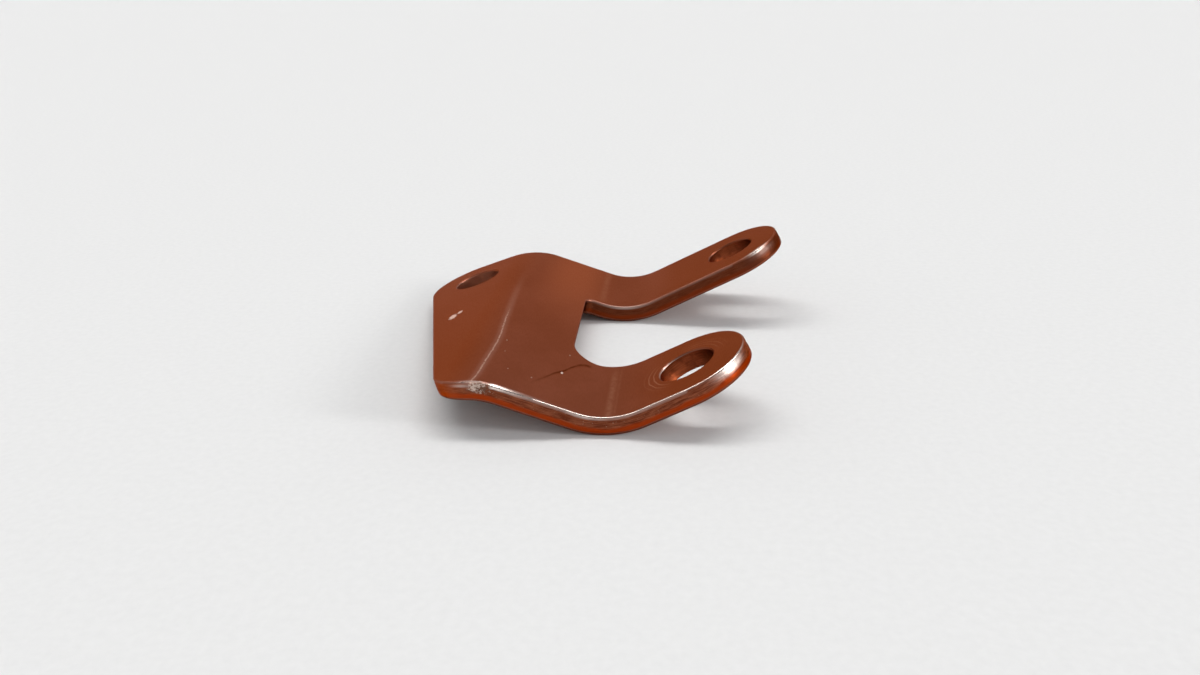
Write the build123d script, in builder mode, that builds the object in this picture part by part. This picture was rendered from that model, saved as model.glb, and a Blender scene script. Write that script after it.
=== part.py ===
from build123d import *
from math import acos, asin, atan2, cos, degrees, hypot, radians, sin, tan
import os

# Sheet and hardware, in millimetres and degrees
sheet = 2.78  # plate thickness, 12 gauge stainless (0.1094 in)
bore_d = 8.33  # clearance hole for a 5/16 in bolt (0.328 in)
bend_r = 11.2  # inside radius of both press-brake bends
end_r = 9.02  # round end, concentric with its bore

# Bends, as turned away from the flat blank
valley_bend = 45.68  # between the web and the arms
crest_bend = 37.86  # between the web and the tail

# Web, the flat between the two bends
web_flat = 10.64  # from bend line to bend line

# Arms, which point along +X side by side
near_arm = 7.05  # valley bend line to the near ear's bore
far_arm = 15.33  # valley bend line to the far ear's bore
bore_span = 44.73  # across, from the near ear's bore to the far ear's

# Notch between the arms, cut into the web
notch_depth = 2.72  # past the valley bend line, at its middle
notch_slant = 1.1  # turn of its base from the bend lines
notch_near_r = 5.8  # inside corner beside the near arm
notch_far_r = 1.5  # inside corner beside the far arm

# Tail, a flange that narrows to one bore in the far corner
tail_arm = 5.36  # crest bend line to the tail's bore
tail_inset = 1.11  # tail bore, in from the line of the far ear's bore
corner_out = 0.3  # near corner, past the crest bend line before it is rounded
corner_r = 6.3  # its rounding
shoulder_in = 6.9  # turn of the far edge, short of the crest bend line
shoulder_r = 8.4  # its rounding

# Edges of the stamped blank
rim_r = 0.3  # deburred rim of the top face
under_r = 0.5  # rolled-over rim of the underside
bore_break = 0.2  # light chamfer on the top of each bore

# Sizes that follow
crest_r = bend_r + sheet
plate_width = bore_span + 2 * end_r
through = plate_width  # long enough to pass the whole plate
valley_turn = radians(valley_bend)
crest_turn = radians(crest_bend)

# The plate lies on its two valley bends and on the rolled rim of the tail's tip. The
# middle of that rim is written from the valley's axis, a along the web and b square
# to it, and the web's pitch is the one that brings the rim down to the table.
rim_reach = tail_arm + end_r - under_r
rim_rise = bend_r + under_r
tip_a = web_flat + rim_rise * sin(crest_turn) + rim_reach * cos(crest_turn)
tip_b = rim_rise * cos(crest_turn) - rim_reach * sin(crest_turn) - bend_r - crest_r
web_pitch = asin((under_r - crest_r) / hypot(tip_a, tip_b)) - atan2(tip_b, tip_a)
arm_pitch = valley_turn - web_pitch
tail_pitch = crest_turn - web_pitch


def square_to(pitch):
    """The upward direction square to a flat that rises towards +X by pitch."""
    return Vector(-sin(pitch), 0, cos(pitch))


def flat_plane(bend_line, pitch):
    """A work plane on the top face of a flat, with its origin on the bend line."""
    return Plane(
        bend_line, x_dir=(cos(pitch), 0, sin(pitch)), z_dir=square_to(pitch)
    )


# The axes of both bends, and a work plane on each of the three flats
valley_axis = Vector(0, 0, crest_r)
web_plane = flat_plane(valley_axis - square_to(-web_pitch) * bend_r, -web_pitch)
arm_plane = flat_plane(valley_axis - square_to(arm_pitch) * bend_r, arm_pitch)
crest_axis = web_plane.from_local_coords(Vector(-web_flat, 0, -crest_r))
tail_plane = flat_plane(crest_axis + square_to(tail_pitch) * crest_r, tail_pitch)

# Where the three bores stand on their flats, as along and across
near_bore = (near_arm, 0)
far_bore = (far_arm, bore_span)
tail_bore = (-tail_arm, bore_span - tail_inset)

# Corners of the tail's outline before they are rounded
far_edge = bore_span + end_r
corner = (-corner_out, -end_r)
shoulder = (shoulder_in, far_edge)


def touch_point(start, side):
    """Where a straight edge from start meets the round end at the tail's bore."""
    run = Vector(*start) - Vector(*tail_bore)
    turn = side * degrees(acos(end_r / run.length))
    return Vector(*tail_bore) + (run.normalized() * end_r).rotate(Axis.Z, turn)


def rim_edges(faces):
    """The outline of one side of the plate, without bores and bend lines."""
    edges = faces.edges()
    bores = edges.filter_by(lambda edge: edge.is_closed)
    bend_lines = edges.filter_by(
        lambda edge: sum(edge in face.edges() for face in faces) > 1
    )
    return edges - bores - bend_lines


with BuildPart() as bracket_plate:
    # Bent strip: tail, crest bend, web and valley bend in one side view
    with BuildSketch(Plane.XZ.offset(end_r)) as side_view:
        with BuildLine() as top_line:
            crest_start = 90 + degrees(tail_pitch)
            valley_start = 270 - degrees(web_pitch)
            crest_arc = CenterArc(
                (crest_axis.X, crest_axis.Z), crest_r, crest_start, -crest_bend
            )
            valley_arc = CenterArc(
                (valley_axis.X, valley_axis.Z), bend_r, valley_start, valley_bend
            )
            tail_line = (crest_arc % 0) * (tail_arm + end_r + sheet)
            Line(crest_arc @ 1, valley_arc @ 0)
            Line(crest_arc @ 0, crest_arc @ 0 - tail_line)
            offset(amount=sheet, side=Side.RIGHT)
        make_face()
    extrude(amount=-plate_width)

    # Outline of the tail: the near corner, a straight slanting end, the round end at
    # the bore, and the shoulder where the far edge turns in towards it
    with BuildSketch(tail_plane) as tail_outline:
        with BuildLine() as tail_edge:
            near_run = FilletPolyline(
                (through, -end_r), corner, touch_point(corner, -1), radius=corner_r
            )
            far_run = FilletPolyline(
                touch_point(shoulder, 1), shoulder, (through, far_edge), radius=shoulder_r
            )
            tail_tip = (-tail_arm - end_r, tail_bore[1])
            ThreePointArc(near_run @ 1, tail_tip, far_run @ 0)
            Line(far_run @ 1, near_run @ 0)
        make_face()
    extrude(amount=through, both=True, mode=Mode.INTERSECT)

    # Notch between the arms, cut square to the web
    with BuildSketch(web_plane) as notch:
        near_wall = end_r
        far_wall = bore_span - end_r
        slant = (far_wall - near_wall) / 2 * tan(radians(notch_slant))
        with BuildLine() as notch_line:
            walls = FilletPolyline(
                (through, near_wall),
                (slant - notch_depth, near_wall),
                (-slant - notch_depth, far_wall),
                (through, far_wall),
                radius=(notch_near_r, notch_far_r),
            )
            Line(walls @ 1, walls @ 0)
        make_face()
    extrude(amount=through, both=True, mode=Mode.SUBTRACT)

    # Arms, each a straight run with a round end
    with BuildSketch(arm_plane) as arms:
        for along, across in (near_bore, far_bore):
            with BuildLine() as arm_line:
                root = Line((0, across + end_r), (0, across - end_r))
                Line(root @ 1, (along, across - end_r))
                CenterArc((along, across), end_r, -90, 180)
                Line((along, across + end_r), root @ 0)
            make_face()
    extrude(amount=-sheet)

    # Rims of both faces, rolled over below and deburred on top
    tops = bracket_plate.faces().filter_by(lambda face: face.normal_at().Z > 0.7)
    unders = bracket_plate.faces().filter_by(lambda face: face.normal_at().Z < -0.7)
    fillet(rim_edges(unders), radius=under_r)
    fillet(rim_edges(tops), radius=rim_r)

    # Three equal bores, square to their flats and lightly broken on top
    with Locations(
        arm_plane.location * Pos(*near_bore),
        arm_plane.location * Pos(*far_bore),
        tail_plane.location * Pos(*tail_bore),
    ):
        CounterSinkHole(
            radius=bore_d / 2,
            counter_sink_radius=bore_d / 2 + bore_break,
            depth=2 * sheet,
            counter_sink_angle=90,
        )

# The origin is the middle of the plate's footprint on the table
footprint = bracket_plate.part.bounding_box().center()
bracket_plate.part.position = (-footprint.X, -footprint.Y, 0)
bracket_plate.part.label = "bracket_plate"

os.makedirs("parts", exist_ok=True)
export_step(bracket_plate.part, "parts/bracket_plate.step")
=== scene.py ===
# %% [markdown]
# # A bent engine bracket
#
# The object is a small plate of steel sheet. It was punched flat and then bent twice in
# a press brake. This script follows the same road: it draws the blank, gives it the
# edge that a punch leaves, bends it, and lays it on the table where it came to rest.

# %% Load the frame
from math import acos, asin, atan2, cos, degrees, exp, hypot, pi, radians, sin, tan

import bmesh
import bpy
from mathutils import Matrix, Vector, noise


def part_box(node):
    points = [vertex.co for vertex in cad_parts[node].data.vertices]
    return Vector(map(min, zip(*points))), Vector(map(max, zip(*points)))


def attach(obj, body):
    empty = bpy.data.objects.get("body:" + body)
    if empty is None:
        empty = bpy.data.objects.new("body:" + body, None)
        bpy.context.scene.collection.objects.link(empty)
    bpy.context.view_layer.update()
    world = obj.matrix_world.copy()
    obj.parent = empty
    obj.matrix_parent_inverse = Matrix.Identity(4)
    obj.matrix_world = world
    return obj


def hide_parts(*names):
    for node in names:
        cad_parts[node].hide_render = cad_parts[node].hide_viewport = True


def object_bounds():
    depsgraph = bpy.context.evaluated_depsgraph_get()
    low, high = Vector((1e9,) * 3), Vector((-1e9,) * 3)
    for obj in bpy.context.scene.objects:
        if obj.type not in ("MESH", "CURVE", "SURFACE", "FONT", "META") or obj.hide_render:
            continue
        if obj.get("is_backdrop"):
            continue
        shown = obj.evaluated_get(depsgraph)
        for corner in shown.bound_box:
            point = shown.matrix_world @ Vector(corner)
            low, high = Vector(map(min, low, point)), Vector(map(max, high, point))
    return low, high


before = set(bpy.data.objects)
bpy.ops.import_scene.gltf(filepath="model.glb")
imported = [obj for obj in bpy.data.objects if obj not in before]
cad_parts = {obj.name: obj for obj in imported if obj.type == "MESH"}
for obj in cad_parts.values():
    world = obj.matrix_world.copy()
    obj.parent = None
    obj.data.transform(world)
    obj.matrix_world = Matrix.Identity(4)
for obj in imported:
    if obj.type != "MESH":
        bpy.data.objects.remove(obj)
cad_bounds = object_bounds()
cad_low, cad_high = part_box("bracket_plate")
print("CAD box in mm:", [round(1000 * v, 2) for v in (*cad_low, *cad_high)])

# %% [markdown]
# ## The sizes
#
# The solid model and this one share their sizes, in millimetres. Blender's own unit is
# the metre, but mesh tools work more surely on numbers near one than on numbers near a
# thousandth. So the blank is made in millimetres and shrunk as its very last step.
#
# Along runs in X, with zero where the arms leave the bend. Across runs in Y, with zero
# halfway between the two ears. The clean top face is at zero in Z.

# %% Name the sizes
sheet = 2.78  # thickness
bore_r = 8.33 / 2
end_r = 9.02  # round end of each ear and of the tail
bore_span = 44.73  # from the near ear's bore across to the far ear's
near_arm = 7.05  # from the valley's bend line to the ear's bore
far_arm = 15.33
tail_arm = 5.36  # from the crest's bend line to the tail's bore
tail_inset = 1.11  # tail bore, in from the line of the far ear's bore

bend_r = 11.2  # inside radius of both bends
crest_r = bend_r + sheet
valley_turn = radians(45.68)
crest_turn = radians(37.86)
web_flat = 10.64  # from bend line to bend line

valley_run = bend_r * valley_turn
crest_run = crest_r * crest_turn
web_start = -valley_run
crest_start = web_start - web_flat
tail_start = crest_start - crest_run
starts = [round(v, 2) for v in (web_start, crest_start, tail_start)]
print("web, crest and tail start at", starts, "along the blank")

# %% [markdown]
# ## The outline
#
# The blank's outline is nothing but straight runs and arcs. A curve object could draw
# it, or a circle cut by booleans. Here a pen walks round it instead: a straight run
# extrudes the last point, and an arc spins it about a centre. Every corner then lies
# just where the drawing puts it, and the points are close together only on the arcs.

# %% Make a pen that draws runs and arcs
arc_gap = 0.3  # from point to point on an arc
hair = 0.001  # so short that it counts as nothing


def run_to(pen, x, y):
    """Draws a straight run from the pen's point and returns its far end."""
    far_end = bmesh.ops.extrude_vert_indiv(blank, verts=[pen])["verts"][0]
    far_end.co = (x, y, pen.co.z)
    return far_end


def arc_round(pen, x, y, turn):
    """Spins the pen's point about a centre by a turn in radians."""
    radius = hypot(pen.co.x - x, pen.co.y - y)
    spun = bmesh.ops.spin(
        blank, geom=[pen], cent=(x, y, pen.co.z), axis=(0, 0, 1), angle=turn,
        steps=max(6, round(abs(turn) * radius / arc_gap)), use_duplicate=False,
    )
    return spun["geom_last"][0]


def rounded_corner(pen, corner, onward, radius):
    """Runs towards a corner and rounds it into the direction of the point onward."""
    corner = Vector(corner)
    arriving = (corner - pen.co.xy).normalized()
    leaving = (Vector(onward) - corner).normalized()
    turn = atan2(arriving.cross(leaving), arriving.dot(leaving))
    start = corner - arriving * radius * tan(abs(turn) / 2)
    left = Vector((-arriving.y, arriving.x)) * (1 if turn > 0 else -1)
    pen = run_to(pen, *start)
    return arc_round(pen, *(start + left * radius), turn)


def touch_point(start, side):
    """Where a straight edge from start meets the tail's round end."""
    run = Vector(start) - tail_bore
    turn = side * acos(end_r / run.length)
    return tail_bore + Matrix.Rotation(turn, 2) @ run.normalized() * end_r


# %% Place the corners of the blank
near_bore = Vector((near_arm, -bore_span / 2))
far_bore = Vector((far_arm, bore_span / 2))
tail_bore = Vector((tail_start - tail_arm, bore_span / 2 - tail_inset))
bores = (near_bore, far_bore, tail_bore)

near_edge = near_bore.y - end_r
far_edge = far_bore.y + end_r
notch_near = near_bore.y + end_r
notch_far = far_bore.y - end_r
notch_depth = 2.72  # past the valley's bend line, at its middle
notch_turn = radians(1.1)  # of its base, off the bend lines
notch_slant = (notch_far - notch_near) / 2 * tan(notch_turn)
notch_corners = (
    (web_start - notch_depth + notch_slant, notch_near),
    (web_start - notch_depth - notch_slant, notch_far),
)
shoulder_in, corner_out = 7.2, 0.3  # short of and past the crest's bend line
shoulder = Vector((tail_start + shoulder_in, far_edge))
tail_corner = Vector((tail_start - corner_out, near_edge))
far_touch = touch_point(shoulder, 1)
near_touch = touch_point(tail_corner, -1)
touches = [round(v, 2) for v in (*far_touch, *near_touch)]
print("the tail's edges touch its round end at", touches)

# %% Draw the outline of the blank
edge_depth = 1.6  # how far down the torn band reaches
soft_r, tight_r = 5.8, 1.5  # inside corners of the notch
shoulder_r, tail_corner_r = 8.4, 6.3

blank = bmesh.new()
first = blank.verts.new((near_arm, near_edge, -edge_depth))
pen = arc_round(first, *near_bore, pi)
pen = rounded_corner(pen, notch_corners[0], notch_corners[1], soft_r)
pen = rounded_corner(pen, notch_corners[1], (far_arm, notch_far), tight_r)
pen = run_to(pen, far_arm, notch_far)
pen = arc_round(pen, *far_bore, pi)
pen = rounded_corner(pen, shoulder, far_touch, shoulder_r)
pen = run_to(pen, *far_touch)
far_spoke, near_spoke = far_touch - tail_bore, near_touch - tail_bore
tail_turn = atan2(far_spoke.cross(near_spoke), far_spoke.dot(near_spoke)) % (2 * pi)
pen = arc_round(pen, *tail_bore, tail_turn)
pen = rounded_corner(pen, tail_corner, (near_arm, near_edge), tail_corner_r)
pen = run_to(pen, near_arm, near_edge)
bmesh.ops.remove_doubles(blank, verts=blank.verts, dist=hair)
print("outline:", len(blank.verts), "points,", len(blank.edges), "edges")

# %% [markdown]
# ## The punched edge
#
# A punch leaves an edge in bands. The lower band is sheared smooth and its rim is drawn
# over into a soft round. Above it the steel tore, so the upper band is rough and leans
# in a little. The top rim was only deburred. Three more rings lie flat inside it, for the
# wear that comes later.
#
# One tool makes all of this. Inset, with a depth, shrinks a face and lifts it in the
# same move, and leaves a ring of wall behind. A tall lift leans the torn band. Short
# lifts that follow a quarter circle round a rim. A bevel could round the rims too, but
# it has to guess at the tight corners of the notch, where an inset keeps its spacing.

# %% Raise the torn band and round the top rim
def close_outline(edges, facing):
    """Closes an outline with one face that looks up (1) or down (-1)."""
    face = bmesh.ops.contextual_create(blank, geom=edges)["faces"][0]
    face.normal_update()
    if face.normal.z * facing < 0:
        bmesh.ops.reverse_faces(blank, faces=[face])
    return face


def lift(face, inward, height):
    """Shrinks a face and lifts it, and leaves a ring of wall behind."""
    bmesh.ops.inset_region(
        blank, faces=[face], use_boundary=True, use_even_offset=True,
        thickness=inward, depth=height,
    )


def round_rim(face, radius, steps=4):
    """Rounds the rim of a face by lifts that follow a quarter circle."""
    for step in range(steps):
        low, high = (pi / 2 * k / steps for k in (step, step + 1))
        lift(face, radius * (cos(low) - cos(high)), radius * (sin(high) - sin(low)))


top_rim = 0.3
torn_lean = 0.07
torn_rings = 5
wear_rings, wear_gap = 3, 0.2
top_face = close_outline(blank.edges[:], 1)
for ring in range(torn_rings):
    lift(top_face, torn_lean / torn_rings, (edge_depth - top_rim) / torn_rings)
round_rim(top_face, top_rim)
for ring in range(wear_rings):
    lift(top_face, wear_gap, 0.0)
print("top face at z =", round(top_face.verts[0].co.z, 4))

# %% Drop the sheared band and roll the lower rim
def points_of(geometry):
    """The points in what an operator returned."""
    return [item for item in geometry if isinstance(item, bmesh.types.BMVert)]


def open_edges_of(geometry):
    """The edges with one face in what an operator returned."""
    edges = [item for item in geometry if isinstance(item, bmesh.types.BMEdge)]
    return [edge for edge in edges if edge.is_boundary]


low_rim = 0.5
dropped = bmesh.ops.extrude_edge_only(blank, edges=open_edges_of(blank.edges))["geom"]
drop = edge_depth + low_rim - sheet
bmesh.ops.translate(blank, verts=points_of(dropped), vec=(0, 0, drop))
low_face = close_outline(open_edges_of(dropped), -1)
round_rim(low_face, low_rim)
print("underside at z =", round(low_face.verts[0].co.z, 4))

# %% [markdown]
# ## The bores
#
# Each flat face now gives way to a plate with three round openings. A triangle fill does
# that, given the face's outline and three rings. A wall then joins each pair of rings.
# A boolean could drill the bores too, but it leaves slivers where it meets the rings of
# the rim. The upper rim of a bore is lightly broken, as a deburring tool leaves it.

# %% Open both faces round the bores
bore_break = 0.2
bore_sides = 96


def open_face(face, radius):
    """Swaps a flat face for one with three round openings and returns their rings."""
    outline, z = face.edges[:], face.verts[0].co.z
    bmesh.ops.delete(blank, geom=[face], context="FACES_ONLY")
    rings = []
    for bore in bores:
        ring = bmesh.ops.create_circle(
            blank, cap_ends=False, segments=bore_sides, radius=radius,
            matrix=Matrix.Translation((*bore, z)),
        )["verts"]
        rings.append(list({edge for vert in ring for edge in vert.link_edges}))
    bmesh.ops.triangle_fill(blank, use_beauty=True, edges=outline + sum(rings, []))
    return rings


top_rings = open_face(top_face, bore_r + bore_break)
low_rings = open_face(low_face, bore_r)
print("rings:", len(top_rings), "above,", len(low_rings), "below")

# %% Join the rings by walls
shrink = bore_r / (bore_r + bore_break)
for bore, top_ring, low_ring in zip(bores, top_rings, low_rings):
    broken = bmesh.ops.extrude_edge_only(blank, edges=top_ring)["geom"]
    bmesh.ops.translate(blank, verts=points_of(broken), vec=(0, 0, -bore_break))
    bmesh.ops.scale(
        blank, verts=points_of(broken), vec=(shrink, shrink, 1),
        space=Matrix.Translation((-bore.x, -bore.y, 0)),
    )
    bmesh.ops.bridge_loops(blank, edges=open_edges_of(broken) + low_ring)
bmesh.ops.recalc_face_normals(blank, faces=blank.faces)
gaps = sum(edge.is_boundary or not edge.is_manifold for edge in blank.edges)
volume = round(blank.calc_volume(), 1)
print("blank:", len(blank.faces), "faces,", gaps, "open edges, volume", volume)

# %% [markdown]
# ## Cuts
#
# Only a face that is short along the bend can follow it, and only small faces can show
# the tear in the punched edge. So the blank is cut by parallel planes: into narrow
# strips across each bend, into coarser ones elsewhere, and into very small pieces along
# the straight runs of its edge. A subdivision would cut every edge alike, while a
# bisecting plane cuts only where it is put, and only the faces that it is given.

# %% Make a cutter
along_x, across_y = (1, 0, 0), (0, 1, 0)
tail_tip = tail_bore.x - end_r
arm_tip = far_arm + end_r


def cut_across(geometry, places, normal):
    """Cuts geometry by parallel planes and returns what it has become."""
    for place in places:
        geometry = bmesh.ops.bisect_plane(
            blank, geom=geometry, dist=hair / 2,
            plane_co=Vector(normal) * place, plane_no=normal,
        )["geom"]
    return geometry


def between(start, end, count):
    """Evenly spaced places from start to end, both included."""
    return [start + (end - start) * k / count for k in range(count + 1)]


def from_bore(point):
    """How far a point of the blank is from the axis of the nearest bore."""
    return min((point.xy - bore).length for bore in bores)


# %% Cut the straight runs of the edge
nick_x = -22.4  # where something hard hit the near edge
nick_reach = 3
long_enough = 1.2  # longer edges of the wall are worth cutting
cuts_along, cuts_across, nick_cuts = 170, 150, 40


def with_borders(faces):
    """Faces, with their edges and points."""
    edges = {edge for face in faces for edge in face.edges}
    verts = {vert for face in faces for vert in face.verts}
    return faces + list(edges) + list(verts)


def long_walls():
    """The long faces of the punched edge, with their edges and points."""
    return with_borders([
        face for face in blank.faces
        if hair - sheet < face.calc_center_median().z < -hair
        and from_bore(face.calc_center_median()) > bore_r + 0.5
        and max(edge.calc_length() for edge in face.edges) > long_enough
    ])


cut_across(long_walls(), between(tail_tip, far_arm, cuts_along), along_x)
cut_across(long_walls(), between(near_edge, far_edge, cuts_across), across_y)
near_walls = with_borders([
    face for face in blank.faces
    if abs(face.calc_center_median().x - nick_x) < nick_reach + 0.2
    and face.calc_center_median().y < near_edge + 0.4
])
nick_places = between(nick_x - nick_reach, nick_x + nick_reach, nick_cuts)
cut_across(near_walls, nick_places, along_x)
print("with the edge cut:", len(blank.faces), "faces")

# %% Cut the plate into strips
bend_strips = 28
for places, normal in (
    (between(crest_start, tail_start, bend_strips), along_x),
    (between(0, web_start, bend_strips), along_x),
    (between(crest_start, web_start, 6)[1:-1], along_x),
    (between(0.0, arm_tip, 14)[1:-1], along_x),
    (between(tail_start, tail_tip, 8)[1:-1], along_x),
    (between(near_edge, far_edge, 36)[1:-1], across_y),
):
    cut_across(blank.verts[:] + blank.edges[:] + blank.faces[:], places, normal)
print("after the cuts:", len(blank.faces), "faces")

# %% [markdown]
# ## Wear and tear
#
# Each point's place on the clean, flat blank is stored as an attribute. The materials
# read it later, so that grain and marks follow the sheet round its bends, and keep to
# the bands of the punched edge.
#
# Then the points move a little. Noise gives the torn band its rough skin and makes the
# line between the two bands wander. Where the plate rubbed, its rim is worn down to a
# slanting facet. At the near end of the crest something hard hit the edge, and left a
# pitted nick with small burrs beside it. Sculpting could do the same by hand, but a
# rule for each point comes out alike on every run.

# %% Store the flat places
flat_place = blank.verts.layers.float_vector.new("blank")
for vert in blank.verts:
    vert[flat_place] = vert.co
print("stored", len(blank.verts), "places")

# %% Tear the upper band
rim_wear = 0.012
torn_depth, streak_depth, pit_depth = 0.03, 0.05, 0.03
line_wander = 0.16
line_band = 0.05  # how near to the line between the bands a point counts as on it

blank.normal_update()
moves = {}
for vert in blank.verts:
    x, y, z = vert.co
    if from_bore(vert.co) < bore_r + 0.4 or not low_rim - sheet - hair < z < -hair:
        continue
    outward = Vector((vert.normal.x, vert.normal.y, 0)).normalized()
    if z > -top_rim:
        uneven = noise.noise(Vector((x * 1.1, y * 1.1, 5)))
        moves[vert] = -vert.normal * rim_wear * (1 + uneven)
    elif z > line_band - edge_depth:
        streak = noise.fractal(Vector((x * 0.8, y * 0.8, z * 4)), 0.7, 2.1, 4)
        pitted = noise.fractal(Vector((x * 2.6, y * 2.6, z * 2.6 + 30)), 0.9, 2.0, 3)
        depth = torn_depth + streak_depth * streak + pit_depth * pitted
        moves[vert] = -outward * max(0.0, depth)
    elif z > -line_band - edge_depth:
        wander = noise.fractal(Vector((x * 0.35, y * 0.35, 12)), 1.0, 2.0, 3)
        moves[vert] = Vector((0, 0, line_wander * wander))
for vert, move in moves.items():
    vert.co += move
farthest = max(move.length for move in moves.values())
print(len(moves), "points moved, by", round(farthest, 3), "mm at most")

# %% Wear facets on the near edge and the far ear
def bell(value, middle, width):
    """A soft bump of height one round a middle."""
    return exp(-(((value - middle) / width) ** 2))


def past_rim(from_outline):
    """How far inside the rounded rim a place of the top face is."""
    return from_outline - top_rim - torn_lean


def angle_round(place, bore):
    """The angle of a place about a bore, in degrees."""
    return degrees(atan2(place.y - bore.y, place.x - bore.x))


worn_x, second_worn_x = -20.2, -27.0  # beside the crest, and by the tail's corner


def near_wear(x):
    """How worn the near edge is along it."""
    if x > worn_x:
        return bell(x, worn_x, 3.4)
    return max(bell(x, worn_x, 1.3), 0.9 * bell(x, second_worn_x, 2.2))


facet_depth = 0.22
near_facet, far_facet = 0.6, 0.5  # their widths
lowered = 0
for vert in blank.verts:
    x, y, z = vert.co
    if z <= -hair:
        continue
    inside = past_rim(y - near_edge)
    if inside < near_facet and tail_start < x < near_arm:
        depth = 0.02 + facet_depth * near_wear(x)
        vert.co.z -= depth * max(0.0, 1 - max(inside, 0.0) / near_facet) ** 1.2
        lowered += 1
    reach = (vert.co.xy - far_bore).length
    inside = past_rim(end_r - reach)
    if inside < far_facet and x > far_arm and reach > bore_r + 1:
        depth = facet_depth * bell(angle_round(vert.co, far_bore), -54, 16)
        vert.co.z -= depth * max(0.0, 1 - max(inside, 0.0) / far_facet) ** 1.1
        lowered += 1
print(lowered, "points in the facets")

# %% Nick the near edge beside the crest
nick = Vector((nick_x, near_edge + 0.1, -0.45))
nick_size = (1.75, 1.0, 0.85)
nick_push = Vector((0.1, 0.75, -0.65))
nick_depth = 0.20
burr_length, burr_width = 0.32, 0.16
burrs = (  # along, in from the edge, height
    (-24.9, 0.22, 0.07), (-24.3, 0.16, 0.09), (-23.75, 0.1, 0.08), (-26.2, 0.2, 0.04),
)

nicked = 0
for vert in blank.verts:
    spread = sum((gap / size) ** 2 for gap, size in zip(vert.co - nick, nick_size))
    if spread < 1:
        rough = noise.fractal(vert.co * 2.2, 0.8, 2.0, 3)
        vert.co += (1 - spread) * (nick_depth + nick_depth * rough) * nick_push
        nicked += 1
for x, y, rise in burrs:
    for vert in blank.verts:
        gap_along = (vert.co.x - x) / burr_length
        gap = hypot(gap_along, (vert.co.y - near_edge - y) / burr_width)
        if gap < 1 and vert.co.z > -0.25:
            vert.co.z += rise * (1 - gap * gap)
print(nicked, "points in the nick,", len(burrs), "burrs")

# %% [markdown]
# ## Rubbed places and painted highlights
#
# Where the plate slid on other things, its skin is gone and bright steel shows: on the
# rim of the near edge, most of all beside the crest, on the ends of both ears, and
# faintly on the other rims. The same values also paint highlights: the pale steel is
# made brightest just where the rims and the near ear's wall catch the light. A second
# attribute holds how much is gone and how much highlight is painted at each point, and
# the materials read it. It could be painted by hand on the mesh, but a rule for each part
# of the outline is easier to change, and stays right when a size changes.

# %% Make the tools for wear and painted highlights
top_edge = 0.01  # how near to the top face a point counts as on it


def is_rim(z):
    """Whether a point is on the rounded top rim."""
    return -top_rim - top_edge < z < -top_edge


def is_torn(z):
    """Whether a point is on the torn band."""
    return -edge_depth <= z <= -top_rim - top_edge


def wear_and_highlight_across(z, wide):
    """How much is gone, and how much highlight is painted, over the height of a rim: a
    thin line unless it is wide.
    """
    return wide + (1 - wide) * bell(z, -0.035, 0.055)


def wear_and_highlight_inward(inside, width):
    """How the wear and the painted highlight fade from the rim into the top face."""
    return min(1.0, max(0.0, 1.6 - inside / width))


# %% Say how much is rubbed off, and how much highlight is painted, on each part
# Angles and spreads are in degrees round the bore, and amounts between 0 and 1.
# Painted highlights on the broken rims of the bores.
bore_highlights = ((150, 45, 0.45), (170, 30, 0.1), (-170, 55, 0.2))  # angle, spread, amount
wear_and_highlight_x = -20.4  # the brightest place of the near edge


def bore_highlight(place):
    """The broken rim of a bore, with a painted highlight on one side only."""
    nearest = min(range(len(bores)), key=lambda k: (place.xy - bores[k]).length)
    side, spread, amount = bore_highlights[nearest]
    turned = abs((angle_round(place, bores[nearest]) - side + 180) % 360 - 180)
    return amount * bell(turned, 0, spread)


def near_ear_wear_and_highlight(place):
    """The near ear: worn rims, and a painted highlight patch on its wall."""
    angle = angle_round(place, near_bore)
    if is_rim(place.z):
        amount = max(0.08, bell(angle, -42, 30), 0.75 * bell(angle, -90, 25))
        return amount * wear_and_highlight_across(place.z, bell(angle, -45, 16))
    if is_torn(place.z):
        return bell(angle, -43, 14) * bell(place.z, -0.7, 0.45)
    return 0.0


def far_ear_wear_and_highlight(place):
    """The far ear: worn rims, and a smaller painted highlight."""
    angle = angle_round(place, far_bore)
    if is_rim(place.z):
        amount = max(0.05, 0.7 * bell(angle, -56, 14))
        return amount * wear_and_highlight_across(place.z, bell(angle, -56, 12))
    if is_torn(place.z):
        return 0.12 * bell(angle, -48, 13) * bell(place.z, -0.8, 0.4)
    if place.z > -top_edge and place.y < far_bore.y:
        inside = past_rim(end_r - (place.xy - far_bore).length)
        return 0.7 * bell(angle, -56, 12) * wear_and_highlight_inward(inside, 0.3)
    return 0.0


def near_edge_wear_and_highlight(place):
    """The near edge: wear and a painted highlight, brightest beside the crest."""
    x, y, z = place
    crest = exp((wear_and_highlight_x - x) / 2.8) if x > wear_and_highlight_x else bell(x, wear_and_highlight_x, 0.9)
    if is_rim(z):
        before_crest = 0.06 + 0.35 * bell(x, -24.6, 1.0)
        amount = before_crest if x < -20.9 else 0.75 + 0.25 * bell(x, -18.0, 5.0)
        return amount * wear_and_highlight_across(z, max(crest, 0.2, 0.6 * bell(x, -7.5, 3.0)))
    if z > -top_edge:
        inside = max(0.0, past_rim(y - near_edge))
        return max(crest, 0.5 * bell(x, -23.2, 1.6)) * wear_and_highlight_inward(inside, 0.35)
    if is_torn(z):
        return 0.5 * bell(x, -25.0, 1.3) * bell(z, -0.45, 0.2)
    return 0.0
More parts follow.
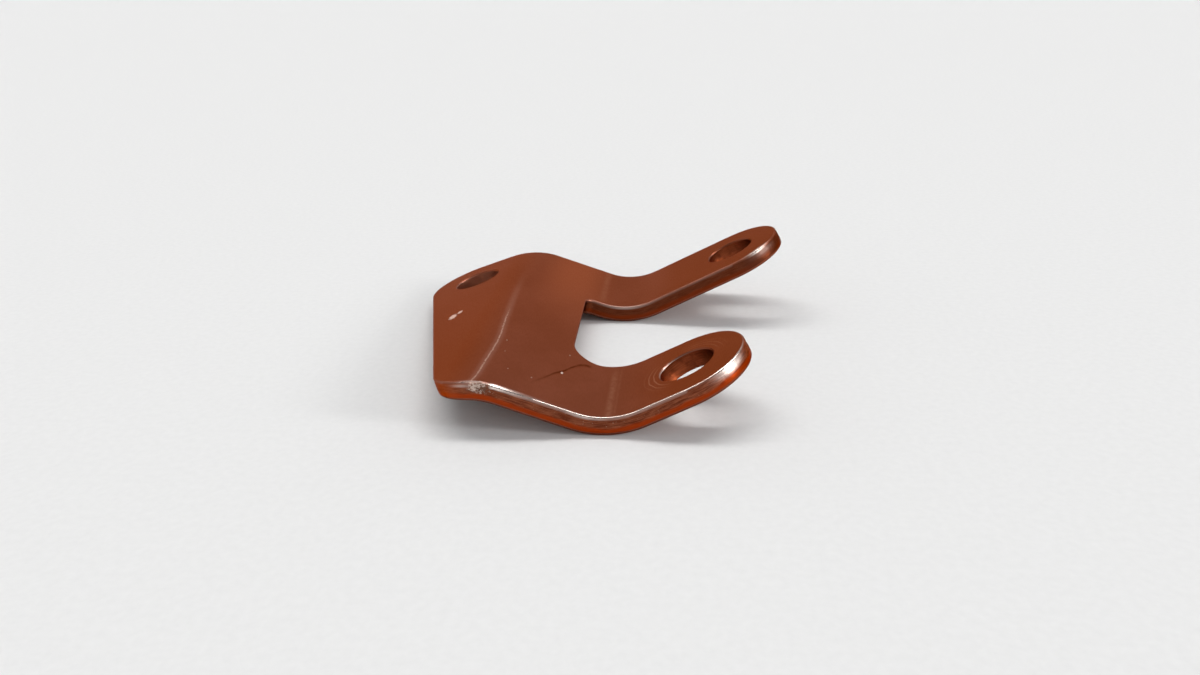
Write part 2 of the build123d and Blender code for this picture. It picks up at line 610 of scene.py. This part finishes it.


# %% Rub the skin off and paint the highlights
wear_and_highlight = blank.verts.layers.float.new("wear_and_highlight")
faint = 0.05  # for all the rims that slid on nothing
for vert in blank.verts:
    place = vert[flat_place]
    x, y, z = place
    if from_bore(place) < bore_r + 0.3:
        if -bore_break - top_edge < z < -top_edge:
            vert[wear_and_highlight] = bore_highlight(place)
    elif x > near_arm and y < notch_near + 0.1:
        vert[wear_and_highlight] = near_ear_wear_and_highlight(place)
    elif x > far_arm:
        vert[wear_and_highlight] = far_ear_wear_and_highlight(place)
    elif y < near_edge + 1.2:
        vert[wear_and_highlight] = near_edge_wear_and_highlight(place)
    # The far arm's rim by the notch gets a painted highlight.
    elif is_rim(z) and x > web_start - 2 and abs(y - notch_far) < 1.2:
        vert[wear_and_highlight] = 0.06 + 0.22 * bell(x, -5.0, 3.5)
    elif is_rim(z):
        vert[wear_and_highlight] = faint
print("rubbed points:", sum(vert[wear_and_highlight] > 0.2 for vert in blank.verts))

# %% [markdown]
# ## The bends
#
# A press brake folds the sheet round a nose, and everything beyond the bend line swings
# with it. The function does just that to the points: those on the bend wrap round its
# axis, and those beyond it go on straight. An armature or a Simple Deform modifier
# would stretch the sheet, and this keeps its length on the top face.

# %% Press both bends
def press(line, side, radius, turn, up):
    """Bends what lies beyond a line, upward or downward, round an axis at that radius."""
    for vert in blank.verts:
        beyond = side * (vert.co.x - line)
        if beyond <= 0:
            continue
        angle = min(beyond / radius, turn)
        rest = beyond - radius * angle
        reach = radius - up * vert.co.z
        vert.co.x = line + side * (reach * sin(angle) + rest * cos(angle))
        vert.co.z = up * (radius - reach * cos(angle) + rest * sin(angle))


press(crest_start, -1, crest_r, crest_turn, -1)
press(web_start, 1, bend_r, valley_turn, 1)
heights = [vert.co.z for vert in blank.verts]
print("bent blank, height with the web level:", round(max(heights) - min(heights), 2))

# %% [markdown]
# ## At rest
#
# The plate rests on the undersides of its valley bends and on the rim of the tail's tip.
# That fixes its tilt. A rigid body simulation would find the same rest, but the three
# places that touch give the angle straight away. The plate is turned by it and laid into
# the solid model's box.

# %% Find the tilt
rim_reach = tail_start - tail_bore.x + end_r - low_rim
rim_rise = bend_r + low_rim
tip_along = web_flat + rim_rise * sin(crest_turn) + rim_reach * cos(crest_turn)
tip_square = rim_rise * cos(crest_turn) - rim_reach * sin(crest_turn) - bend_r - crest_r
tip_distance = hypot(tip_along, tip_square)
web_pitch = asin((low_rim - crest_r) / tip_distance) - atan2(tip_square, tip_along)
print(f"the web falls by {degrees(web_pitch):.3f} degrees")

# %% Lay the plate down
tilt = Matrix.Rotation(web_pitch, 3, "Y")
bmesh.ops.rotate(blank, verts=blank.verts, cent=(0, 0, 0), matrix=tilt)
low = Vector([min(v.co[k] for v in blank.verts) for k in range(3)])
high = Vector([max(v.co[k] for v in blank.verts) for k in range(3)])
shift = -(low + high) / 2
shift.z = -low.z
bmesh.ops.translate(blank, verts=blank.verts, vec=shift)
tail_low = min(v.co.z for v in blank.verts if v[flat_place].x < tail_start)
size = [round(v, 2) for v in high - low]
print(f"tail tip {tail_low:.4f} mm above the table, size {size}")

# %% Shade it smooth and make it an object
sharpest_smooth = radians(35)
for face in blank.faces:
    face.smooth = True
for edge in blank.edges:
    edge.smooth = edge.calc_face_angle(0) < sharpest_smooth
millimetre = 0.001
bmesh.ops.scale(blank, verts=blank.verts, vec=(millimetre,) * 3)
plate_mesh = bpy.data.meshes.new("bracket_sheet")
blank.to_mesh(plate_mesh)
blank.free()
plate = bpy.data.objects.new("bracket_sheet", plate_mesh)
bpy.context.scene.collection.objects.link(plate)
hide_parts("bracket_plate")
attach(plate, "root")
print("plate:", len(plate_mesh.polygons), "faces,", len(plate_mesh.vertices), "points")

# %% [markdown]
# ## The steel
#
# The plate is rolled sheet with a satin, brown skin, whose brown is partly painted
# reflection. Its rims are rubbed bright and carry painted highlights, its punched edge is
# torn above and burnished below, with painted reflection and shade on it, and the bores
# are dark inside, with painted shade, and the tail's bore has painted light. So it gets
# three materials, one for each kind of surface, and every face takes the one that fits
# its place on the blank. One material with many masks could do the same, but three small
# ones are easier to read and to tune.
#
# All three read the stored places, in millimetres on the flat blank, and never the
# camera or the world.

# %% Make helpers that add nodes
def new_material(name):
    """Starts a node material and returns it with its shader."""
    made = bpy.data.materials.new(name)
    made.use_nodes = True
    return made, made.node_tree.nodes["Principled BSDF"]


def put(kind, inputs=None, **settings):
    """Adds a node to the current material, and sets or joins its inputs."""
    made = current.node_tree.nodes.new("ShaderNode" + kind)
    for name, value in settings.items():
        setattr(made, name, value)
    for name, value in (inputs or {}).items():
        if isinstance(value, bpy.types.NodeSocket):
            current.node_tree.links.new(value, made.inputs[name])
        else:
            made.inputs[name].default_value = value
    return made


def join(value, shader, name):
    """Joins a node's output to one of the shader's inputs."""
    current.node_tree.links.new(value, shader.inputs[name])


# %% Make helpers for arithmetic between sockets or numbers
def calc(operation, first, second=0.0):
    """One step of arithmetic."""
    return put("Math", {0: first, 1: second}, operation=operation).outputs[0]


def times(*values):
    """The product of some values."""
    product = values[0]
    for value in values[1:]:
        product = calc("MULTIPLY", product, value)
    return product


def away(value, middle):
    """How far a value is from a middle, on either side."""
    return calc("ABSOLUTE", calc("SUBTRACT", value, middle))


def swing(cloud, width):
    """Noise turned into a number that swings round zero."""
    return times(calc("SUBTRACT", cloud, 0.5), width)


def ramp(value, low, high, start=0.0, end=1.0):
    """Rises softly from start to end as the value goes from low to high."""
    limits = {"From Min": low, "From Max": high, "To Min": start, "To Max": end}
    return put(
        "MapRange", {"Value": value, **limits}, interpolation_type="SMOOTHSTEP",
    ).outputs["Result"]


def share(value, low, high):
    """How far a value has come from low to high, between 0 and 1."""
    limits = {"From Min": low, "From Max": high}
    return put("MapRange", {"Value": value, **limits}).outputs["Result"]


# %% Make helpers for colour, noise and places
def tint(amount, below, above):
    """Goes from one colour to another by an amount between 0 and 1."""
    return put("Mix", {0: amount, 6: below, 7: above}, data_type="RGBA").outputs[2]


def blank_place():
    """The stored place on the blank: the vector, and its three parts."""
    vector = put("Attribute", attribute_name="blank").outputs["Vector"]
    return vector, *put("SeparateXYZ", {0: vector}).outputs


def cloudy(vector, stretch, detail=4.0, rough=0.55):
    """Noise on the blank, with one number for how fine it is along each direction."""
    stretched = put("Mapping", {"Vector": vector, "Scale": stretch}).outputs[0]
    grain = {"Scale": 1.0, "Detail": detail, "Roughness": rough}
    return put("TexNoise", {"Vector": stretched, **grain}).outputs[0]


def gap_to(place, middle, stretch):
    """How far a place is from a middle, with one number for each direction."""
    apart = put("VectorMath", {0: place, 1: middle}, operation="SUBTRACT").outputs[0]
    apart = put("VectorMath", {0: apart, 1: stretch}, operation="MULTIPLY").outputs[0]
    return put("VectorMath", {0: apart}, operation="LENGTH").outputs["Value"]


def line_at(value, places):
    """A smooth curve through places, as pairs, each between 0 and 1."""
    made = put("FloatCurve", {"Value": value})
    curve = made.mapping.curves[0]
    for place, pair in zip(curve.points, (places[0], places[-1])):
        place.location = pair
    for pair in places[1:-1]:
        curve.points.new(*pair)
    made.mapping.update()
    return made.outputs[0]


# %% [markdown]
# ## What the three finishes share
#
# All three are bare metal. Steel turns a little redder where it is seen at a flat angle,
# and the specular tint does that. Rubbed rims show the steel itself, made pale enough to
# stand in for painted highlights, and the nick breaks up into crumbs of bright and dark
# metal. Each of these could be built afresh in every material, but then a change in one
# would be missed in the others.

# %% Name what the finishes share
# Pale steel for worn rims, bright enough to act as painted highlight.
bright_steel_and_highlight = (0.95, 0.86, 0.79, 1)
flat_angle_tint = (0.74, 0.43, 0.36, 1)


def wear_and_highlight_amount():
    """The stored amount of wear and painted highlight."""
    return put("Attribute", attribute_name="wear_and_highlight").outputs["Fac"]


def round_nick(place, stretch, edge):
    """The ragged patch round the nick, and the crumbs that break it up."""
    gap = gap_to(place, tuple(nick), stretch)
    crumbs = cloudy(place, (2.6, 2.6, 3.2), 4.0, 0.75)
    return ramp(calc("ADD", gap, swing(crumbs, 2.2)), edge, edge - 0.5), crumbs


def finish_steel(shader, colour, dull, relief):
    """Joins colour, roughness and relief to a shader, and makes it metal."""
    join(colour, shader, "Base Color")
    join(dull, shader, "Roughness")
    bump = put("Bump", {"Strength": 0.6, "Distance": 0.001, "Height": relief})
    join(bump.outputs[0], shader, "Normal")
    shader.inputs["Metallic"].default_value = 1.0
    shader.inputs["Specular Tint"].default_value = flat_angle_tint
    print(current.name, "has", len(current.node_tree.nodes), "nodes")


# %% [markdown]
# ## The satin faces
#
# The skin is a dark red brown, which is partly painted reflection, with broad, soft clouds
# and a fine grain along the bends.
# A few marks give it its history: a bright line where the crest rubbed in the brake,
# which also paints the crest's highlight; fainter lines in the valley, part marks of the
# brake's nose and part painted highlights; a dark scratch that runs in from the notch;
# some bright specks of bare steel, painted up to glints; and rings left by the head of a
# bolt round one bore.
#
# A painted picture on the unfolded blank could hold them all. But each mark here is a
# distance, turned into a narrow mask, which stays sharp at any size. The mask then
# changes the colour, the roughness and the height together, because a real scratch does
# all three.

# %% Lay down the skin
skin, skin_shader = new_material("satin_brown_skin")
current = skin
place, along, across, height = blank_place()
clouds = cloudy(place, (0.09, 0.06, 0.09), 3.0)
grain = cloudy(place, (7.0, 0.9, 3.0), 5.0, 0.65)
mottle = cloudy(place, (1.1, 0.8, 1.0), 5.0)
upper_side = ramp(height, -0.4, -0.2)
far_web_sheen = times(ramp(across, -6.0, 24.0), ramp(away(along, -15.0), 8.0, 1.0))
arm_ends = ramp(along, -2.0, 6.0)
tail = ramp(along, -22.0, -28.0)
# The brown is partly the steel's own tone and partly a painted reflection of orange
# surroundings.
dark_skin, light_skin = (0.222, 0.074, 0.045, 1), (0.250, 0.086, 0.054, 1)
mottled, sheen_warm = (0.200, 0.066, 0.040, 1), (0.370, 0.120, 0.064, 1)
arm_reflected_red, tail_reflected_orange = (0.205, 0.054, 0.024, 1), (0.240, 0.062, 0.027, 1)
colour = tint(ramp(clouds, 0.36, 0.64), dark_skin, light_skin)
colour = tint(ramp(mottle, 0.42, 0.62, 0.0, 0.25), colour, mottled)
# Painted sheen: the far part of the web is made lighter and warmer.
colour = tint(times(far_web_sheen, 0.75), colour, sheen_warm)
# Painted reflection: the arms and the tail are tinted apart from the web, each to the tone
# its flat mirrors.
colour = tint(times(arm_ends, 0.6), colour, arm_reflected_red)
colour = tint(times(tail, 0.6), colour, tail_reflected_orange)
dull = ramp(grain, 0.3, 0.7, 0.36, 0.44)
relief = times(grain, 0.0015)
print("skin laid with", len(skin.node_tree.nodes), "nodes")

# %% Rub the rims bright, paint their highlights, and bare the skin round the nick
patchy = cloudy(place, (0.8, 0.8, 2.5), 4.0)
rim_wear_and_highlight = times(wear_and_highlight_amount(), ramp(patchy, 0.25, 0.5, 0.75, 1.0))
# Worn rims, painted pale as highlights.
colour = tint(rim_wear_and_highlight, colour, bright_steel_and_highlight)
dull = calc("SUBTRACT", dull, times(rim_wear_and_highlight, 0.20))

bared, crumbs = round_nick(place, (0.5, 1.1, 1.0), 1.0)
bright_crumb, dark_crumb = (0.66, 0.54, 0.47, 1), (0.200, 0.090, 0.056, 1)
colour = tint(bared, colour, tint(ramp(crumbs, 0.38, 0.54), bright_crumb, dark_crumb))
dull = calc("ADD", dull, times(bared, 0.1))
print("skin bared round", [round(v, 1) for v in nick])

# %% Draw the crest line: a rub mark of the brake, and a painted highlight
crest_places = [  # across and along, each as a share of the line's own span
    (0, 0.36), (0.02, 0.46), (0.05, 0.64), (0.12, 0.77), (0.2, 0.95), (0.24, 1.0),
    (0.34, 0.82), (0.41, 0.64), (0.54, 0.37), (0.64, 0.21), (0.79, 0.16), (1, 0.14),
]
crest_share = line_at(share(across, -31.4, 31.4), crest_places)
crest_x = calc("SUBTRACT", times(crest_share, 1.4), 24.25)
wobble = swing(cloudy(place, (0.2, 1.3, 1.0), 3.0), 0.35)
crest_gap = calc("ABSOLUTE", calc("ADD", calc("SUBTRACT", along, crest_x), wobble))
crisp = times(ramp(crest_gap, 0.20, 0.04), ramp(across, 1.0, -6.0))
broad = times(ramp(crest_gap, 1.0, 0.0, 0.0, 0.22), ramp(across, 22.0, -4.0))
broken = ramp(cloudy(place, (1.0, 2.2, 1.0), 4.0), 0.30, 0.55, 0.25, 1.0)
crest_mark_and_highlight = times(calc("MAXIMUM", times(crisp, broken), broad), upper_side)
# Painted highlight along the crest bend on top of the brake's rub mark; the broad part is
# a painted sheen beside it.
colour = tint(times(crest_mark_and_highlight, 0.75), colour, (0.62, 0.42, 0.34, 1))
relief = calc("ADD", relief, times(crisp, upper_side, 0.02))
print("crest line through", len(crest_places), "places")

# %% Draw the valley lines: marks of the brake's nose, and painted highlights
broad_x, thin_x, far_x = -4.35, -3.5, -9.2
broad_nose_and_highlight = ramp(away(along, broad_x), 0.8, 0.0, 0.0, 0.8)
broad_nose_and_highlight = times(broad_nose_and_highlight, ramp(across, -14.0, -18.0))
thin_nose_and_highlight = ramp(away(along, thin_x), 0.3, 0.05)
thin_nose_and_highlight = times(thin_nose_and_highlight, ramp(across, -14.0, -17.0, 0.0, 0.35))
far_nose_and_highlight = ramp(away(along, far_x), 0.9, 0.1)
far_nose_and_highlight = times(far_nose_and_highlight, ramp(across, 13.0, 17.0, 0.0, 0.6))
nose_and_highlight = calc("MAXIMUM", calc("MAXIMUM", broad_nose_and_highlight, thin_nose_and_highlight), far_nose_and_highlight)
nose_and_highlight = times(nose_and_highlight, upper_side, ramp(mottle, 0.35, 0.6, 0.35, 1.0))
# Painted highlights along the valley bend, drawn as the brake nose's lines.
colour = tint(times(nose_and_highlight, 0.35), colour, (0.50, 0.26, 0.17, 1))
print("nose lines at", (broad_x, thin_x, far_x))

# %% Draw the dark scratch that runs in from the notch
scratch_places = [  # along and across, each as a share of the scratch's own span
    (0.0, 0.0), (0.06, 0.08), (0.2, 0.25), (0.31, 0.39), (0.43, 0.54), (0.54, 0.64),
    (0.65, 0.78), (0.76, 0.91), (0.88, 0.99), (1.0, 1.0),
]
scratch_share = line_at(share(along, -16.5, -8.4), scratch_places)
scratch_y = calc("SUBTRACT", times(scratch_share, 12.8), 27.7)
scratch_run = times(ramp(along, -17.0, -12.0), ramp(along, -8.0, -8.6), upper_side)
scratch_thin = ramp(away(across, scratch_y), 0.65, 0.05)
scratch = times(scratch_thin, scratch_run, ramp(patchy, 0.3, 0.5, 0.4, 1.0))
colour = tint(times(scratch, 0.75), colour, (0.060, 0.014, 0.005, 1))
relief = calc("ADD", relief, times(scratch, -0.03))
print("scratch through", len(scratch_places), "places")

# %% Scatter bright specks of bare steel, painted up to glints
specks = [  # along, across, size, strength
    (-34.05, 0.8, 0.8, 1.0), (-33.1, 2.3, 0.5, 0.9),
    (-12.16, -20.16, 0.22, 0.9), (-16.08, -24.88, 0.14, 0.3),
    (-21.57, -14.82, 0.14, 0.35), (-21.12, -18.98, 0.12, 0.25),
    (-19.65, -24.52, 0.12, 0.3), (-11.8, -13.15, 0.14, 0.35),
]
speck_glint = 0.0
ragged = swing(cloudy(place, (2.5, 2.5, 2.5), 3.0), 0.9)
for x, y, size, strength in specks:
    gap = calc("ADD", gap_to(place, (x, y, 0), (1.0, 0.55, 1.0)), times(ragged, size))
    speck_glint = calc("MAXIMUM", speck_glint, ramp(gap, size, size * 0.55, 0.0, strength))
# Painted glints: the specks are made near white.
colour = tint(speck_glint, colour, (0.95, 0.86, 0.78, 1))
dull = times(dull, calc("SUBTRACT", 1.0, times(speck_glint, 0.45)))
relief = calc("ADD", relief, times(speck_glint, 0.05))
print("specks:", len(specks))

# %% Turn the rings round the near bore
bore_axis = (*near_bore, 0)
ring_step = 0.75
from_axis = put("VectorMath", {0: place, 1: bore_axis}, operation="DISTANCE").outputs[1]
ring_drift = times(cloudy(place, (0.25, 0.25, 0.25), 2.0), 0.7)
ring_wave = times(calc("ADD", from_axis, ring_drift), 2 * pi / ring_step)
ring_wave = calc("SINE", ring_wave)
ring_zone = times(ramp(from_axis, 4.3, 4.7), ramp(from_axis, 7.0, 6.0))
spoke = put("VectorMath", {0: place, 1: bore_axis}, operation="SUBTRACT").outputs[0]
spoke = put("VectorMath", {0: spoke}, operation="NORMALIZE").outputs[0]
to_tail, to_far_ear = (
    put("VectorMath", {0: spoke, 1: way}, operation="DOT_PRODUCT").outputs[1]
    for way in ((-0.98, -0.2, 0), (0.6, 0.8, 0))
)
faint_side = ramp(to_far_ear, 0.6, 0.95, 0.0, 0.6)
ring_side = calc("MAXIMUM", ramp(to_tail, 0.5, 0.9), faint_side)
rings = times(ramp(ring_wave, 0.55, 1.0), ring_zone, times(ring_side, upper_side))
colour = tint(times(rings, 0.5), colour, (0.46, 0.22, 0.14, 1))
relief = calc("ADD", relief, times(rings, 0.015))
finish_steel(skin_shader, colour, dull, relief)

# %% [markdown]
# ## The bands of the punched edge
#
# Above, the steel tore. That band is rough, greyer, streaked along the edge and dotted
# with small bright pits. Below, the punch burnished it smooth, and its strong red is a
# painted reflection of orange surroundings. Each band could have a material of its own,
# but then their border would follow the mesh. So one material holds both and goes from
# one to the other by height, with a little noise, because a tear never ends in a straight
# line.

# %% Colour both bands
edge_steel, edge_shader = new_material("punched_edge")
current = edge_steel
place, along, across, height = blank_place()
wander = swing(cloudy(place, (0.7, 0.7, 0.7), 4.0), 0.3)
torn = ramp(calc("ADD", height, wander), -edge_depth - 0.3, -edge_depth + 0.25)
streaks = cloudy(place, (0.45, 0.45, 7.0), 5.0, 0.6)
pits = cloudy(place, (5.0, 5.0, 7.0), 4.0, 0.7)
dark_tear, light_tear = (0.120, 0.026, 0.010, 1), (0.260, 0.078, 0.038, 1)
bright_pit, dark_pit = (0.62, 0.42, 0.32, 1), (0.06, 0.016, 0.008, 1)
# The lower band's red is partly painted reflection on top of the steel's own tone.
dark_shear_and_reflection, light_shear_and_reflection = (0.270, 0.030, 0.004, 1), (0.330, 0.042, 0.006, 1)
tear = tint(ramp(streaks, 0.38, 0.62), dark_tear, light_tear)
tear = tint(ramp(pits, 0.64, 0.74), tear, bright_pit)
tear = tint(ramp(pits, 0.38, 0.28), tear, dark_pit)
shear_and_reflection = tint(ramp(streaks, 0.35, 0.65), dark_shear_and_reflection, light_shear_and_reflection)
colour = tint(torn, shear_and_reflection, tear)
print("bands drawn with", len(edge_steel.node_tree.nodes), "nodes")

# %% Paint reflection and shade on the bands, and rub them
far_ear_painted_shade = times(ramp(along, far_arm - 1, far_arm + 4), ramp(across, 0.0, 8.0))
# Painted reflection: the tail's walls turn orange. Painted shade: the walls grow darker
# towards the far side, and darker still at the far ear.
tail_wall_reflected_orange, far_side_painted_shade = (0.440, 0.085, 0.024, 1), (0.090, 0.018, 0.005, 1)
colour = tint(ramp(along, -24.0, -29.0, 0.0, 0.55), colour, tail_wall_reflected_orange)
colour = tint(ramp(across, notch_near, notch_far, 0.0, 0.65), colour, far_side_painted_shade)
colour = tint(times(far_ear_painted_shade, 0.8), colour, (0.085, 0.024, 0.012, 1))
# Worn steel and painted highlights on the bands, the near ear's bright wall patch among
# them.
edge_wear_and_highlight = times(wear_and_highlight_amount(), ramp(streaks, 0.3, 0.55, 0.6, 1.0))
colour = tint(edge_wear_and_highlight, colour, bright_steel_and_highlight)
in_nick, crumbs = round_nick(place, (0.55, 0.8, 1.0), 1.05)
crumbs = calc("ADD", crumbs, ramp(along, nick.x - 0.6, nick.x + 1.2, -0.10, 0.06))
bright_crumb, dark_crumb = (0.60, 0.47, 0.40, 1), (0.150, 0.070, 0.045, 1)
colour = tint(in_nick, colour, tint(ramp(crumbs, 0.36, 0.54), bright_crumb, dark_crumb))
dull = calc("SUBTRACT", ramp(torn, 0.0, 1.0, 0.30, 0.44), times(edge_wear_and_highlight, 0.2))
relief = calc("ADD", times(streaks, 0.05), times(pits, 0.04))
relief = times(relief, ramp(torn, 0.0, 1.0, 0.15, 1.0))
finish_steel(edge_shader, colour, dull, relief)

# %% [markdown]
# ## The walls of the bores
#
# A drill leaves fine rings down the wall of its hole, and dirt stays in it. The rings
# could be cut into the mesh, but they are finer than its faces. So they are noise that is
# drawn out round the hole and close along it, and only the surface's bump shows them.
# The side of each bore that turns from the light gets painted shade, and the tail's bore
# is made lighter with painted light.

# %% Darken the bores, paint shade on their far sides and light into the tail's bore
bore_steel, bore_shader = new_material("drilled_bore")
current = bore_steel
place, along, across, _ = blank_place()
turns = cloudy(place, (0.5, 0.5, 9.0), 4.0, 0.6)
soot = cloudy(place, (0.9, 0.9, 0.9), 4.0)
shade = 0.0
for bore in bores:
    shaded_side = ramp(away(along, bore.x + bore_r), 3.5, 0.2)
    shade = calc("MAXIMUM", shade, times(shaded_side, ramp(away(across, bore.y), 4.6, 4.0)))
tail_bore_painted_light = ramp(along, tail_start + 2, tail_start - 1, 0.0, 0.75)
dark_turn, light_turn = (0.200, 0.046, 0.016, 1), (0.300, 0.070, 0.026, 1)
colour = tint(ramp(turns, 0.38, 0.62), dark_turn, light_turn)
colour = tint(ramp(soot, 0.45, 0.65, 0.0, 0.5), colour, (0.170, 0.036, 0.011, 1))
# Painted shade on the side of each bore that turns from the light.
colour = tint(times(shade, 0.6), colour, (0.100, 0.020, 0.006, 1))
# Painted light: the tail's bore is made lighter.
colour = tint(tail_bore_painted_light, colour, (0.460, 0.185, 0.110, 1))
dull = ramp(soot, 0.3, 0.7, 0.35, 0.55)
finish_steel(bore_shader, colour, dull, times(turns, 0.03))

# %% Give each face its material
wall_starts = -0.15  # below the broken rim of a bore
for finish in (skin, edge_steel, bore_steel):
    plate_mesh.materials.append(finish)
flat_places = plate_mesh.attributes["blank"].data
counts = [0, 0, 0]
for face in plate_mesh.polygons:
    corners = [flat_places[index].vector for index in face.vertices]
    middle = sum(corners, Vector()) / len(corners)
    if from_bore(middle) < bore_r + 0.02 and middle.z < wall_starts:
        face.material_index = 2
    elif low_rim - sheet < middle.z < -top_rim:
        face.material_index = 1
    counts[face.material_index] += 1
print("faces of skin, edge and bores:", counts)

# %% [markdown]
# ## The table
#
# The floor is a wide sheet of pale, matt paper with a faint fibre. It is its own object
# and marked as a stage, so it stays out of the model. A cove or a cyclorama would do as
# well, but a sheet this wide looks plain from every side.

# %% Lay the floor
floor_half = 6.0  # metres, from its middle to its border
floor_mesh = bpy.data.meshes.new("floor")
surface = bmesh.new()
bmesh.ops.create_grid(surface, x_segments=1, y_segments=1, size=floor_half)
surface.to_mesh(floor_mesh)
surface.free()
floor = bpy.data.objects.new("floor", floor_mesh)
bpy.context.scene.collection.objects.link(floor)
floor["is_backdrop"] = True
paper, paper_shader = new_material("pale_paper")
current = paper
paper_place = put("TexCoord").outputs["Object"]
fibre = put("TexNoise", {"Vector": paper_place, "Scale": 900.0, "Detail": 3.0}).outputs[0]
paper_colour = tint(fibre, (0.73, 0.73, 0.73, 1), (0.79, 0.79, 0.79, 1))
join(paper_colour, paper_shader, "Base Color")
paper_shader.inputs["Roughness"].default_value = 1.0
paper_shader.inputs["Specular IOR Level"].default_value = 0.0
floor_mesh.materials.append(paper)
print("floor:", 2 * floor_half, "m wide")

# %% [markdown]
# ## The light
#
# Satin steel shows little but what it mirrors. The rims of the plate face many ways, and
# one small lamp would be mirrored by only a few of them. So the sky is pale all round
# and carries one long, bright strip across the table, and the strip draws a line of
# light along every upper rim. A long area lamp could do that too, but it would light the
# paper unevenly, while a strip in the sky is so far off that it lights it all alike.
#
# Divided by its height, a direction becomes a place on a flat ceiling, and there the
# strip is a plain long box with soft sides. A weak lamp at the right catches the ends of
# the arms.

# %% Paint the sky
strip_back = 0.34  # behind the point straight overhead, on a ceiling of height one
strip_side = -0.10  # its middle, a little to the left
pale, dim, bright = (0.88, 0.88, 0.88, 1), (0.20, 0.20, 0.21, 1), (8.0, 8.0, 7.9, 1)

world = bpy.data.worlds.new("studio")
bpy.context.scene.world = world
world.use_nodes = True
current = world
sky = world.node_tree.nodes["Background"]
side, back, up = put("SeparateXYZ", {0: put("TexCoord").outputs["Generated"]}).outputs
dome = tint(share(up, 0.35, 0.8), pale, dim)
rise = calc("MAXIMUM", up, 0.05)
across_strip = ramp(away(calc("DIVIDE", back, rise), strip_back), 0.16, 0.08)
along_strip = ramp(away(calc("DIVIDE", side, rise), strip_side), 0.90, 0.65)
strip = times(across_strip, along_strip, ramp(up, 0.2, 0.4))
join(tint(strip, dome, bright), sky, "Color")
sky.inputs["Strength"].default_value = 1.0
print("sky:", len(world.node_tree.nodes), "nodes")

# %% Add the lamp at the side
side_lamp = bpy.data.lights.new("side_lamp", "SUN")
side_lamp.energy, side_lamp.angle = 1.2, radians(13)
side_light = bpy.data.objects.new("side_lamp", side_lamp)
shine = Vector((-0.6, 0.15, -0.2))
side_light.rotation_euler = shine.to_track_quat("-Z", "Y").to_euler()
bpy.context.scene.collection.objects.link(side_light)

# %% [markdown]
# ## The camera
#
# The photo was taken from low down and close by, and the camera stands at its viewing
# angle. It could be placed by eye. But the outline shows every degree, so its place, its
# turn and its lens come from a fit of the plate's edges to the photo.

# %% Place the camera
yaw, dip, roll = (radians(v) for v in (-5.778, 21.291, -1.630))
camera_data = bpy.data.cameras.new("camera")
camera_data.lens = 29.586
camera_data.sensor_width = 36.0
camera_data.clip_start = 0.01
camera = bpy.data.objects.new("camera", camera_data)
camera.rotation_euler = (
    Matrix.Rotation(-yaw, 3, "Z")
    @ Matrix.Rotation(pi / 2 - dip, 3, "X")
    @ Matrix.Rotation(roll, 3, "Z")
).to_euler()
camera.location = (0.016456, -0.151280, 0.061468)
bpy.context.scene.collection.objects.link(camera)
bpy.context.scene.camera = camera
bpy.context.scene.view_settings.view_transform = "Standard"
print("camera:", round(1000 * camera.location.length), "mm from the plate")

# %% Write the sizes and finish
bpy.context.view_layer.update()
for name, box in (("CAD", cad_bounds), ("visual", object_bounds())):
    print(name, [[round(1000 * x, 2) for x in corner] for corner in box])
